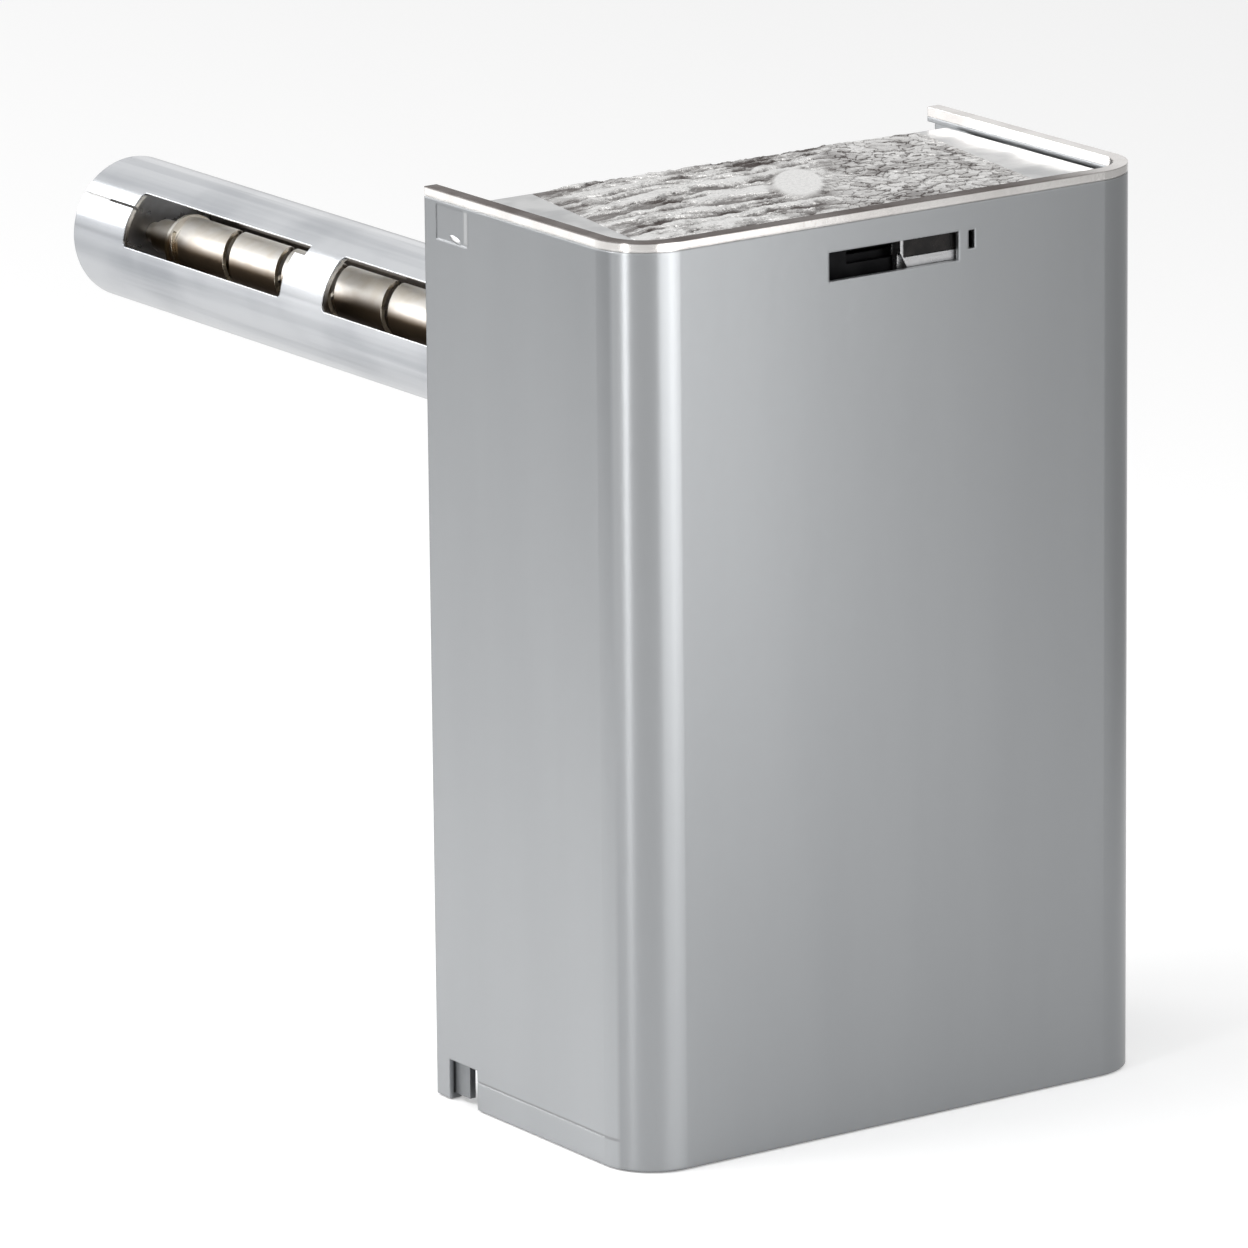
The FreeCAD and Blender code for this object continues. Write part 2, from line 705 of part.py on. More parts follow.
def override_arm():
    rear = keeper_rear + arm_sheet
    level = box(arm_left, neck[1], keeper_rear, rear, slot_middle - keeper_half, slot_middle)
    drop = box(arm_left, arm_left + keeper_half, keeper_rear, rear, pusher[0], slot_middle)
    push = box(arm_left, arm_left + arm_sheet, keeper_rear, pusher_rear, pusher[0], pusher[1])
    return fused([level, drop, push])


# Terminals: on each side a moulded block with two straps that drop from the switch above it.
def terminal_block(side):
    block = box(side * block_inner, side * block_outer, block_front, plate_front,
                block_bottom, block_top)
    x = side * strap_middle
    z = block_screw_height
    block = block.cut(rod(3.4, block_front - PAST, plate_front - 4.0, x, z))
    block = block.cut(rod(frame_screw + fixed_fit, plate_front - 5.0, plate_front + PAST, x, z))
    for place in strap_places:
        block = block.cut(rod(small_thread + fixed_fit, block_front - PAST, block_front + 8.0,
                              side * place, terminal_height))
    return block


def straps(side):
    group = []
    for place in strap_places:
        x = side * place
        face = block_front - strap_sheet
        strip = box(x - strap_width / 2, x + strap_width / 2, face, block_front,
                    terminal_height, switch_bottom)
        pad = box(x - pad_width / 2, x + pad_width / 2, face, block_front,
                  terminal_height - pad_height / 2, terminal_height + pad_height / 2)
        strap = strip.fuse(pad).removeSplitter()
        hole = rod(small_thread + fixed_fit, face - PAST, block_front + PAST, x, terminal_height)
        group.append(strap.cut(hole))
    return Part.makeCompound(group)


def jumper_link():
    rear = block_front - strap_sheet
    inner = strap_places[0]
    link = box(-inner - 2.5, inner + 2.5, rear - strap_sheet, rear, terminal_height - 2.5,
               terminal_height + 2.5)
    for side in (-1, 1):
        link = link.cut(rod(small_thread + fixed_fit, rear - 2.0, rear + PAST, side * inner, terminal_height))
    return link


def terminal_screws():
    screws = []
    for side in (-1, 1):
        for place in strap_places:
            seat = block_front - strap_sheet
            if place == strap_places[0]:
                seat = seat - strap_sheet
            screws.append(screw_front(side * place, terminal_height, seat, block_front + 6.0,
                                      small_thread, (2.4, 1.5)))
    return Part.makeCompound(screws)


def cover_screws():
    screws = []
    for x in screw_places:
        seat = tray_under - cover_sheet
        head = stud(3.4, seat - 2.0, seat, x, screw_row)
        head = head.cut(box(x - 4, x + 4, screw_row - 0.4, screw_row + 0.4, seat - 3.0, seat - 1.1))
        screws.append(head.fuse(stud(cover_screw, seat, tray_top + 4.0, x, screw_row)))
    return Part.makeCompound(screws)


def foil_liner():
    rear = plate_rear - foil_margin
    lip_edge = front + rim_width + shelf_margin + foil_margin
    return box(foil_ends[0], foil_ends[1], lip_edge, rear, shelf_top, shelf_top + foil_thickness)


export("cover_shell", cover_shell())
export("cover_rim", cover_rim())
export("chassis", chassis())
export("foil_liner", foil_liner())
export("cover_screws", cover_screws())
export("knockout_disc", stud(knockout - 0.1, tray_under, tray_top, 0, knockout_row))
export("ground_screw", frame_screws(ground_at, plate_front, plate_rear + 2.0))

export("probe_tube", probe_tube())
export("probe_flange", probe_flange())
export("flange_rivets", flange_rivets())
export("bimetal_helix", bimetal_helix())
export("anchor_post", anchor_post())
export("anchor_plate", anchor_plate())
export("helix_hub", helix_hub())
export("shaft", shaft())
export("shaft_bearings", shaft_bearings())

export("dial", dial())
export("hub_screw", hub_screw())
for layer, name in enumerate(tab_angles):
    export(name, setting_tab(layer, tab_angles[name]))
export("dial_washer", dial_washer_ring())
export("dial_screw", dial_screw())
export("dial_pointer", dial_pointer())

export("switch_bracket", switch_bracket())
export("bracket_screws", frame_screws(bracket_screws_at, plate_front - chassis_sheet, plate_rear + 2.0))
export("lever_pins", lever_pins())
for name, side in (("fan", -1), ("limit", 1)):
    export(name + "_switch", switch_case(side))
    export(name + "_plunger", plunger(side))
    export(name + "_lever", lever(side))
    export(name + "_terminal_block", terminal_block(side))
    export(name + "_straps", straps(side))
export("block_screws", frame_screws(block_screws_at, plate_front - 4.0, plate_rear + 2.0))
export("terminal_screws", terminal_screws())
export("jumper_link", jumper_link())

export("slider_rail", slider_rail())
export("fan_slider", fan_slider())
export("slider_cap", slider_cap())
export("override_arm", override_arm())
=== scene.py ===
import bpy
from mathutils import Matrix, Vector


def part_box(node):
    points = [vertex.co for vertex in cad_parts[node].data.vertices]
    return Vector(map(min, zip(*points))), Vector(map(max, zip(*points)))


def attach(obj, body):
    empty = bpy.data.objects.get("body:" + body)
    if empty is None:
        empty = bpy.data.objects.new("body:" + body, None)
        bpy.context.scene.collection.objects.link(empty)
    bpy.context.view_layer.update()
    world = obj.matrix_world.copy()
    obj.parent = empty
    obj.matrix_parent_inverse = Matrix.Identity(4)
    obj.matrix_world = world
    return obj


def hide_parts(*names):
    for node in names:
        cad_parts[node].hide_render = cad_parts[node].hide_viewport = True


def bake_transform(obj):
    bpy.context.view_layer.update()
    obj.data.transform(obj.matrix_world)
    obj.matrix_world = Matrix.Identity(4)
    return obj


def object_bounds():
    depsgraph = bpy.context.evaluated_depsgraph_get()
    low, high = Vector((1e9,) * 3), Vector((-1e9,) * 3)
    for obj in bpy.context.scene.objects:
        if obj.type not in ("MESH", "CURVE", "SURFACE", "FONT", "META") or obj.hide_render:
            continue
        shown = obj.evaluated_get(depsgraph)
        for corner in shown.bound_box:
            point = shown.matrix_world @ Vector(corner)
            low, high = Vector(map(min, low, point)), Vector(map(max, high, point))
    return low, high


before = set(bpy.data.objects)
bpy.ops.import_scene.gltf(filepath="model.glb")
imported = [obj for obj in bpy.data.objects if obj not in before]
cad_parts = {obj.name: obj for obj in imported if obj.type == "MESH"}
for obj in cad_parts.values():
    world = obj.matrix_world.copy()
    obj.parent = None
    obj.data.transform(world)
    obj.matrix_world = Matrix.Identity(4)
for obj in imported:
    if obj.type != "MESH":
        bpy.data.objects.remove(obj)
cad_box = [list(corner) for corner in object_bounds()]

import math

import bmesh
import bpy
from mathutils import Matrix, Vector

# ---------------------------------------------------------------------------------------------------
# Studio: a pale table top with white all round it, and soft boxes that hang out of sight. It isn't
# part of the object. The table keeps the object's shadow.


class Field:
    """A socket in a node tree. Arithmetic on it adds Math nodes, and make() adds any other node."""

    def __init__(self, tree, socket=None):
        self.tree = tree
        self.socket = socket

    def make(self, kind, settings=None, values=None, output=0):
        node = self.tree.nodes.new(kind)
        for name, value in (settings or {}).items():
            setattr(node, name, value)
        for key, value in (values or {}).items():
            if isinstance(value, Field):
                self.tree.links.new(value.socket, node.inputs[key])
            else:
                node.inputs[key].default_value = value
        return Field(self.tree, node.outputs[output])

    def math(self, operation, *operands, clamp=False):
        values = dict(enumerate(operands))
        return self.make("ShaderNodeMath", {"operation": operation, "use_clamp": clamp}, values)

    def __add__(self, other):
        return self.math("ADD", self, other)

    def __sub__(self, other):
        return self.math("SUBTRACT", self, other)

    def __rsub__(self, other):
        return self.math("SUBTRACT", other, self)

    def __mul__(self, other):
        return self.math("MULTIPLY", self, other)

    def __truediv__(self, other):
        return self.math("DIVIDE", self, other)

    def __rtruediv__(self, other):
        return self.math("DIVIDE", other, self)

    def __pow__(self, other):
        return self.math("POWER", self, other)

    __radd__ = __add__
    __rmul__ = __mul__

    def between(self, low, high):
        """0 below low and 1 above high, with a soft step from one to the other."""
        settings = {"interpolation_type": "SMOOTHSTEP"}
        return self.make("ShaderNodeMapRange", settings, {"Value": self, "From Min": low, "From Max": high})

    def tint(self, first, second):
        """A colour that goes from first to second as this field goes from 0 to 1."""
        return self.make("ShaderNodeMix", {"data_type": "RGBA"}, {"Factor": self, 6: first, 7: second}, 2)

    def axis(self, name):
        """One part, X, Y or Z, of a place."""
        return self.make("ShaderNodeSeparateXYZ", {}, {"Vector": self}, name)

    def feed(self, shader, socket):
        self.tree.links.new(self.socket, shader.inputs[socket])


def rgb(red, green, blue):
    """A colour written as 0 to 255 in each channel, as a paint chart gives it."""
    linear = []
    for channel in (red, green, blue):
        share = channel / 255
        linear.append(share / 12.92 if share < 0.04045 else ((share + 0.055) / 1.055) ** 2.4)
    return (*linear, 1.0)


table_level = cad_box[0][2]
object_middle = (Vector(cad_box[0]) + Vector(cad_box[1])) / 2

world = bpy.data.worlds.new("white_studio")
bpy.context.scene.world = world
world.use_nodes = True
world.node_tree.nodes.clear()
air = Field(world.node_tree)
room_light = 0.55
seen = (air.make("ShaderNodeLightPath", output="Is Camera Ray")
        + air.make("ShaderNodeLightPath", output="Is Glossy Ray")
        + air.make("ShaderNodeLightPath", output="Is Transmission Ray"))
strength = air.math("MINIMUM", seen, 1.0) * (1.0 - room_light) + room_light
backdrop = air.make("ShaderNodeBackground", {}, {"Color": (1, 1, 1, 1), "Strength": strength})
world_output = world.node_tree.nodes.new("ShaderNodeOutputWorld")
world.node_tree.links.new(backdrop.socket, world_output.inputs["Surface"])

table_half = 6.0
table_gap = 0.0002
table_glow = 0.23
bpy.ops.mesh.primitive_plane_add(size=2 * table_half, location=(0, 0, table_level - table_gap))
table = bpy.context.object
table.name = "table_top"
table_paint = bpy.data.materials.new("pale_table")
table_paint.use_nodes = True
table_paint.node_tree.nodes.clear()
lay = Field(table_paint.node_tree)
matt = lay.make("ShaderNodeBsdfDiffuse", {}, {"Color": (0.86, 0.86, 0.86, 1)})
shown = lay.make("ShaderNodeLightPath", output="Is Camera Ray")
glow = lay.make("ShaderNodeEmission", {}, {"Color": (1, 1, 1, 1), "Strength": shown * table_glow})
table_output = table_paint.node_tree.nodes.new("ShaderNodeOutputMaterial")
both = lay.make("ShaderNodeAddShader", {}, {0: matt, 1: glow})
table_paint.node_tree.links.new(both.socket, table_output.inputs["Surface"])
table.data.materials.append(table_paint)


def soft_box(name, place, aim, width, height, radiance):
    """A rectangular lamp of one brightness all over, which the camera doesn't see."""
    lamp = bpy.data.lights.new(name, "AREA")
    lamp.shape = "RECTANGLE"
    lamp.size = width
    lamp.size_y = height
    lamp.energy = radiance * width * height * math.pi
    holder = bpy.data.objects.new(name, lamp)
    bpy.context.scene.collection.objects.link(holder)
    holder.location = place
    holder.rotation_euler = (Vector(aim) - Vector(place)).to_track_quat("-Z", "Y").to_euler()
    holder.visible_camera = False


case_low, case_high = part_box("cover_shell")
corner_inset = 0.010
corner = Vector((case_low.x + corner_inset, case_low.y + corner_inset, 0))


def strip_box(name, side, distance, width, height, radiance):
    """A soft box that stands on the table to one side of the front left corner and faces it. The side
    is in degrees, from straight in front towards the left."""
    turn = math.radians(side)
    place = corner + Vector((-math.sin(turn), -math.cos(turn), 0)) * distance
    place.z = table_level + height / 2
    soft_box(name, place, (corner.x, corner.y, place.z), width, height, radiance)


soft_box("back_box", (-0.80, 1.45, 0.62), object_middle, 1.0, 0.7, 4.5)
soft_box("top_box", (0.1, -0.2, 1.9), object_middle, 1.4, 1.4, 0.75)
strip_box("front_strip", -7, 0.55, 0.33, 0.60, 2.4)
strip_box("front_panel", -24, 0.34, 0.16, 0.45, 1.0)
strip_box("left_strip", 74, 0.55, 0.09, 0.60, 4.5)
strip_box("left_panel", 152, 0.50, 0.22, 0.40, 0.25)
soft_box("left_pool", (-0.30, 0.10, 0.30), (-0.16, 0.06, table_level), 0.25, 0.25, 5.0)

# A grey card, which only reflections see, stands to the right and darkens the front's right corner.
card_size = (0.30, 0.39)
card_place = (0.254, -0.145)
card_glow = 0.42
bpy.ops.mesh.primitive_plane_add(size=1)
card = bpy.context.object
card.name = "grey_card"
card.scale = (*card_size, 1.0)
card.rotation_euler = (0, math.radians(90), 0)
card.location = (*card_place, table_level + card_size[0] / 2)
card.visible_camera = False
card.visible_diffuse = False
card.visible_shadow = False
card_paint = bpy.data.materials.new("grey_card")
card_paint.use_nodes = True
card_paint.node_tree.nodes.clear()
face = Field(card_paint.node_tree)
grey = face.make("ShaderNodeEmission", {}, {"Color": (1, 1, 1, 1), "Strength": card_glow})
card_output = card_paint.node_tree.nodes.new("ShaderNodeOutputMaterial")
card_paint.node_tree.links.new(grey.socket, card_output.inputs["Surface"])
card.data.materials.append(card_paint)

# The camera looks down on the front left corner from nearly two metres away.
camera_side = math.radians(-34.829)
camera_up = math.radians(14.837)
camera_roll = math.radians(-0.574)
camera_distance = 1.7458
camera_shift = (-0.0460, 0.0076)
face_middle = Vector((0, cad_box[0][1], (cad_box[0][2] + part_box("cover_rim")[1].z) / 2))
back = Vector((math.sin(camera_side) * math.cos(camera_up),
               -math.cos(camera_side) * math.cos(camera_up), math.sin(camera_up)))
level = Vector((math.cos(camera_side), math.sin(camera_side), 0))
upright = back.cross(level)
across = level * math.cos(camera_roll) + upright * math.sin(camera_roll)
above = upright * math.cos(camera_roll) - level * math.sin(camera_roll)
eye = face_middle + back * camera_distance + across * camera_shift[0] + above * camera_shift[1]
lens = bpy.data.cameras.new("camera")
lens.sensor_width = 36.0
lens.lens = 298.7
lens.clip_start = 0.05
camera = bpy.data.objects.new("camera", lens)
bpy.context.scene.collection.objects.link(camera)
camera.matrix_world = Matrix((
    (across.x, above.x, back.x, eye.x),
    (across.y, above.y, back.y, eye.y),
    (across.z, above.z, back.z, eye.z),
    (0, 0, 0, 1)))
bpy.context.scene.camera = camera
bpy.context.scene.view_settings.view_transform = "Standard"

# ---------------------------------------------------------------------------------------------------
# Chassis: one zinc-plated steel pressing, folded at its top and foot into two shelves, with four ears
# folded back to the duct wall. The knockout in its lower shelf is a disc of the same sheet.


def new_finish(name, constants):
    """An empty finish: its material, a Field to write it with, and its shader."""
    finish = bpy.data.materials.new(name)
    finish.use_nodes = True
    shader = finish.node_tree.nodes["Principled BSDF"]
    for socket, value in constants.items():
        shader.inputs[socket].default_value = value
    return finish, Field(finish.node_tree), shader


def dress(nodes, finish):
    for name in nodes:
        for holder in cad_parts[name].material_slots:
            holder.material = finish


# The zinc is painted duller below the top shelf, in place of the shade that the cover throws on it.
chassis_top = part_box("chassis")[1].z
zinc_sheet, field, shader = new_finish("zinc_sheet", {"Metallic": 1.0})
place = field.make("ShaderNodeTexCoord", output="Object")
cloud = field.make("ShaderNodeTexNoise", {}, {"Vector": place, "Scale": 110.0, "Detail": 3.0})
drawn = field.make("ShaderNodeMapping", {}, {"Vector": place, "Scale": (0.15, 1.0, 1.0)})
line = field.make("ShaderNodeTexNoise", {}, {"Vector": drawn, "Scale": 1100.0, "Detail": 5.0})
worn = cloud.between(0.40, 0.68)
by_the_shelf = place.axis("Z").between(chassis_top - 0.014, chassis_top - 0.006)
unshaded_zinc = worn.tint(rgb(190, 190, 190), rgb(168, 169, 170))
shaded_zinc = worn.tint(rgb(151, 153, 155), rgb(142, 144, 146))
by_the_shelf.tint(shaded_zinc, unshaded_zinc).feed(shader, "Base Color")
(worn * 0.10 + (line - 0.5) * 0.16 + 0.30 + (1 - by_the_shelf) * 0.12).feed(shader, "Roughness")
eased = field.make("ShaderNodeBevel", {"samples": 4}, {"Radius": 0.00025})
bump = {"Height": line, "Strength": 1.0, "Distance": 0.000012, "Normal": eased}
field.make("ShaderNodeBump", {}, bump).feed(shader, "Normal")
dress(["chassis", "knockout_disc"], zinc_sheet)

# ---------------------------------------------------------------------------------------------------
# Probe tube: sheet steel rolled into a tube, plated bright, with the windows pierced before rolling.
# Its seam stays open at the tip. The inside is painted dark below as painted shade, and pale above as a
# painted reflection of the windows.

tube_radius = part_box("probe_tube")[1].x
tube_plate, field, shader = new_finish("bright_tube", {"Metallic": 1.0})
place = field.make("ShaderNodeTexCoord", output="Object")
along = field.make("ShaderNodeMapping", {}, {"Vector": place, "Scale": (1, 0.03, 1)})
drawn_line = field.make("ShaderNodeTexNoise", {}, {"Vector": along, "Scale": 900.0, "Detail": 5.0})
cloud = field.make("ShaderNodeTexNoise", {}, {"Vector": place, "Scale": 45.0, "Detail": 3.0})
spread = place.axis("X")
rise = place.axis("Z")
from_axis = field.math("SQRT", spread * spread + rise * rise)
outside = from_axis.between(tube_radius - 0.0007, tube_radius - 0.0002)
streaks = field.make("ShaderNodeTexNoise", {}, {"Vector": along, "Scale": 240.0, "Detail": 3.0})
plating = (cloud.between(0.4, 0.7) * 0.4 + streaks.between(0.42, 0.66) * 0.6).tint(
    rgb(206, 208, 211), rgb(168, 171, 176))
# Painted shade on the lower inside and a painted reflection of the windows on the upper inside.
inside_painted_light = rise.between(0.001, 0.007).tint(rgb(84, 77, 70), rgb(238, 236, 232))
outside.tint(inside_painted_light, plating).feed(shader, "Base Color")
((1 - outside) * 0.14 + (drawn_line - 0.5) * 0.16 + 0.21).feed(shader, "Roughness")
eased = field.make("ShaderNodeBevel", {"samples": 4}, {"Radius": 0.0003})
bump = {"Height": drawn_line, "Strength": 1.0, "Distance": 0.000008, "Normal": eased}
field.make("ShaderNodeBump", {}, bump).feed(shader, "Normal")
dress(["probe_tube"], tube_plate)

# ---------------------------------------------------------------------------------------------------
# Flange and rivets: a plated ring with a collar drawn up round the tube, held to the back plate by
# three steel rivets whose outer heads are set into low domes.


def metal(name, colour, dull, roughness, patch=0.012, streak=(1, 1, 1), streak_size=0.0012,
          variation=0.10):
    """Bare, plated or lacquered metal: cloudy patches, fine streaks that stretch along an axis, and
    edges eased by the deburring drum."""
    finish, field, shader = new_finish(name, {"Metallic": 1.0})
    place = field.make("ShaderNodeTexCoord", output="Object")
    cloud = field.make("ShaderNodeTexNoise", {}, {"Vector": place, "Scale": 1 / patch, "Detail": 3.0})
    drawn = field.make("ShaderNodeMapping", {}, {"Vector": place, "Scale": streak})
    line = field.make("ShaderNodeTexNoise", {}, {"Vector": drawn, "Scale": 1 / streak_size, "Detail": 5.0})
    worn = cloud.between(0.40, 0.68)
    worn.tint(colour, dull).feed(shader, "Base Color")
    (worn * variation + (line - 0.5) * (1.6 * variation) + roughness).feed(shader, "Roughness")
    eased = field.make("ShaderNodeBevel", {"samples": 4}, {"Radius": 0.00025})
    bump = {"Height": line, "Strength": 1.0, "Distance": 0.00001, "Normal": eased}
    field.make("ShaderNodeBump", {}, bump).feed(shader, "Normal")
    return finish


fitting_plate = metal("plated_fittings", rgb(196, 197, 199), rgb(176, 176, 177), 0.26, patch=0.006)
dress(["probe_flange", "anchor_plate", "helix_hub"], fitting_plate)


def turned_mesh(name, profile, segments=32):
    """A closed solid turned about Y from (radius, place along Y) pairs, given from one end to the other."""
    shape = bmesh.new()
    ends = []
    rings = []
    for radius, along in profile:
        if radius == 0:
            ends.append(shape.verts.new((0, along, 0)))
            continue
        ring = []
        for number in range(segments):
            turn = 2 * math.pi * number / segments
            ring.append(shape.verts.new((radius * math.cos(turn), along, radius * math.sin(turn))))
        rings.append(ring)
    for first, second in zip(rings, rings[1:]):
        for number in range(segments):
            beside = (number + 1) % segments
            shape.faces.new((first[number], first[beside], second[beside], second[number]))
    for end, ring in zip(ends, (rings[0], rings[-1])):
        for number in range(segments):
            shape.faces.new((end, ring[(number + 1) % segments], ring[number]))
    bmesh.ops.recalc_face_normals(shape, faces=shape.faces)
    for face in shape.faces:
        face.smooth = True
    mesh = bpy.data.meshes.new(name)
    shape.to_mesh(mesh)
    shape.free()
    return mesh


def link(name, mesh):
    piece = bpy.data.objects.new(name, mesh)
    bpy.context.scene.collection.objects.link(piece)
    return piece


def sharpen(mesh, degrees=35.0):
    """Smooth shading, broken at edges that turn by more than an angle."""
    mesh.shade_smooth()
    mesh.set_sharp_from_angle(angle=math.radians(degrees))


def geometry_tree(name, inputs):
    """A Geometry Nodes tree with named inputs, and a Field for each of them."""
    tree = bpy.data.node_groups.new(name, "GeometryNodeTree")
    for label, kind in inputs.items():
        tree.interface.new_socket(label, in_out="INPUT", socket_type="NodeSocket" + kind)
    tree.interface.new_socket("Geometry", in_out="OUTPUT", socket_type="NodeSocketGeometry")
    source = tree.nodes.new("NodeGroupInput")
    return tree, {label: Field(tree, source.outputs[label]) for label in inputs}


def close_tree(tree, geometry, finish):
    """Ends a tree in Realize Instances and Set Material."""
    real = geometry.make("GeometryNodeRealizeInstances", {}, {"Geometry": geometry})
    painted = geometry.make("GeometryNodeSetMaterial", {}, {"Geometry": real, "Material": finish})
    sink = tree.nodes.new("NodeGroupOutput")
    tree.links.new(painted.socket, sink.inputs["Geometry"])


def grow(name, tree, settings):
    """Runs a tree with its inputs set, and keeps the result as a plain mesh with no modifier."""
    piece = link(name, bpy.data.meshes.new(name + "_start"))
    modifier = piece.modifiers.new("grow", "NODES")
    modifier.node_group = tree
    for item in tree.interface.items_tree:
        if item.item_type == "SOCKET" and item.in_out == "INPUT":
            modifier[item.identifier] = settings[item.name]
    ready = piece.evaluated_get(bpy.context.evaluated_depsgraph_get())
    mesh = bpy.data.meshes.new_from_object(ready)
    piece.modifiers.remove(modifier)
    piece.data = mesh
    return piece


zinc_screw = metal("zinc_screws", rgb(190, 191, 193), rgb(166, 166, 166), 0.24, patch=0.004,
                   streak_size=0.0006)
rivet_low, rivet_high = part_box("flange_rivets")
rivet_circle = 0.0185
rivet_head = rivet_high.z - rivet_circle
rivet_front = rivet_low.y
rivet_rear = rivet_high.y
shank = 0.0016
head_depth = 0.0012
crown = 0.00008
shoulder = 0.0004
rivet_profile = [
    (0, rivet_front),
    (rivet_head * 0.55, rivet_front + crown),
    (rivet_head * 0.86, rivet_front + shoulder),
    (rivet_head, rivet_front + head_depth * 0.85),
    (rivet_head, rivet_front + head_depth),
    (shank, rivet_front + head_depth),
    (shank, rivet_rear - head_depth),
    (rivet_head, rivet_rear - head_depth),
    (rivet_head, rivet_rear - head_depth * 0.8),
    (rivet_head * 0.88, rivet_rear - shoulder),
    (rivet_head * 0.55, rivet_rear - crown),
    (0, rivet_rear)]
one_rivet = link("rivet_pattern", turned_mesh("rivet_pattern", rivet_profile))
tree, given = geometry_tree("rivets_on_a_circle", {
    "Rivet": "Object", "Count": "Int", "Circle Radius": "Float"})
circle = given["Count"].make("GeometryNodeMeshCircle", {}, {
    "Vertices": given["Count"], "Radius": given["Circle Radius"]})
stood = circle.make("GeometryNodeTransform", {}, {
    "Geometry": circle, "Rotation": (math.pi / 2, math.pi / 2, 0)})
rivet = circle.make("GeometryNodeObjectInfo", {}, {"Object": given["Rivet"]}, "Geometry")
placed = circle.make("GeometryNodeInstanceOnPoints", {}, {"Points": stood, "Instance": rivet})
close_tree(tree, placed, zinc_screw)
rivets = grow("set_rivets", tree, {"Rivet": one_rivet, "Count": 3, "Circle Radius": rivet_circle})
bpy.data.objects.remove(one_rivet)
sharpen(rivets.data)
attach(rivets, "case")
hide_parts("flange_rivets")

# ---------------------------------------------------------------------------------------------------
# Bimetal element: two alloys rolled into one brown ribbon, wound on a mandrel into a helix and heat
# treated. The sheared edges stay bright. It is spot-welded to the hub on the shaft and to the post.


def settle(piece):
    """Turns the piece's live modifiers into its mesh."""
    ready = piece.evaluated_get(bpy.context.evaluated_depsgraph_get())
    mesh = bpy.data.meshes.new_from_object(ready)
    piece.modifiers.clear()
    piece.data = mesh


def facing_up(place, radius):
    """0 on the under side of a round piece on the tube's axis and 1 on its upper left side, which is
    painted paler in place of a reflection."""
    return ((place.axis("X") * 0.42 + place.axis("Z") * 0.91) / radius).between(-0.35, 0.35)


ribbon_low, ribbon_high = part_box("bimetal_helix")
ribbon_sheet = 0.0008
ribbon_bore = ribbon_high.x - ribbon_sheet
ribbon_width = 0.0152
ribbon_pitch = 0.0174
ribbon_gap_place = 0.1382
ribbon_gap_side = math.radians(152.0)
evenness = 0.72
turns_behind = 6.5
turns = 8.5
cuts = 8 * 72
tree, given = geometry_tree("wound_ribbon", {
    "Bore": "Float", "Width": "Float", "Pitch": "Float", "Gap Place": "Float", "Gap Side": "Float",
    "Evenness": "Float", "Near End": "Float", "Far End": "Float", "Turns Behind": "Float", "Turns": "Float",
    "Cuts": "Int"})
full_turn = 2 * math.pi
start = given["Bore"]
sheet = start.make("GeometryNodeMeshGrid", {}, {
    "Size X": 1.0, "Size Y": 1.0, "Vertices X": given["Cuts"], "Vertices Y": 13}, "Mesh")
spot = start.make("GeometryNodeInputPosition")
part = spot.axis("X") + 0.5
width_share = spot.axis("Y")
turn = (part * given["Turns"] - given["Turns Behind"]) * full_turn
uneven = start.math("SINE", turn) * given["Evenness"]
middle = (turn - uneven) * given["Pitch"] / full_turn + given["Gap Place"] + given["Pitch"] * 0.5
along = middle + width_share * given["Width"]
along = start.math("MINIMUM", start.math("MAXIMUM", along, given["Near End"]), given["Far End"])
angle = turn + given["Gap Side"]
wound = start.make("ShaderNodeCombineXYZ", {}, {
    "X": start.math("COSINE", angle) * given["Bore"], "Y": along,
    "Z": start.math("SINE", angle) * given["Bore"] * -1.0})
rolled = start.make("GeometryNodeSetPosition", {}, {"Geometry": sheet, "Position": wound})
welded = start.make("GeometryNodeMergeByDistance", {}, {"Geometry": rolled, "Distance": 0.00002})
ribbon_brown, field, shader = new_finish("ribbon_brown", {})
place = field.make("ShaderNodeTexCoord", output="Object")
cloud = field.make("ShaderNodeTexNoise", {}, {"Vector": place, "Scale": 210.0, "Detail": 4.0})
roll_line = field.make("ShaderNodeMapping", {}, {"Vector": place, "Scale": (0.2, 1.0, 0.2)})
roll_mark = field.make("ShaderNodeTexNoise", {}, {"Vector": roll_line, "Scale": 2200.0, "Detail": 3.0})
# The upper left side is painted near white, a painted reflection; the under side keeps the ribbon's brown.
painted_lit_side = facing_up(place, ribbon_high.x)
painted_reflection_alloy = cloud.between(0.35, 0.7).tint(rgb(253, 250, 245), rgb(240, 233, 222))
painted_lit_side.tint(rgb(108, 92, 74), painted_reflection_alloy).feed(shader, "Base Color")
(0.85 - painted_lit_side * 0.6).feed(shader, "Metallic")
(0.32 + painted_lit_side * 0.10 + (cloud - 0.5) * 0.12 + (roll_mark - 0.5) * 0.10).feed(shader, "Roughness")
bump = {"Height": roll_mark, "Strength": 1.0, "Distance": 0.000006}
field.make("ShaderNodeBump", {}, bump).feed(shader, "Normal")
ribbon_edge = metal("ribbon_edge", rgb(214, 206, 192), rgb(190, 178, 160), 0.22, patch=0.003,
                    streak_size=0.0005)
close_tree(tree, welded, ribbon_brown)
helix = grow("wound_bimetal", tree, {
    "Bore": ribbon_bore, "Width": ribbon_width, "Pitch": ribbon_pitch, "Gap Place": ribbon_gap_place,
    "Gap Side": ribbon_gap_side, "Evenness": evenness, "Near End": ribbon_low.y, "Far End": ribbon_high.y,
    "Turns Behind": turns_behind, "Turns": turns, "Cuts": cuts})
trim = bmesh.new()
trim.from_mesh(helix.data)
bmesh.ops.delete(trim, geom=[edge for edge in trim.edges if not edge.link_faces], context="EDGES")
bmesh.ops.delete(trim, geom=[vert for vert in trim.verts if not vert.link_faces], context="VERTS")
bmesh.ops.recalc_face_normals(trim, faces=trim.faces)
trim.to_mesh(helix.data)
trim.free()
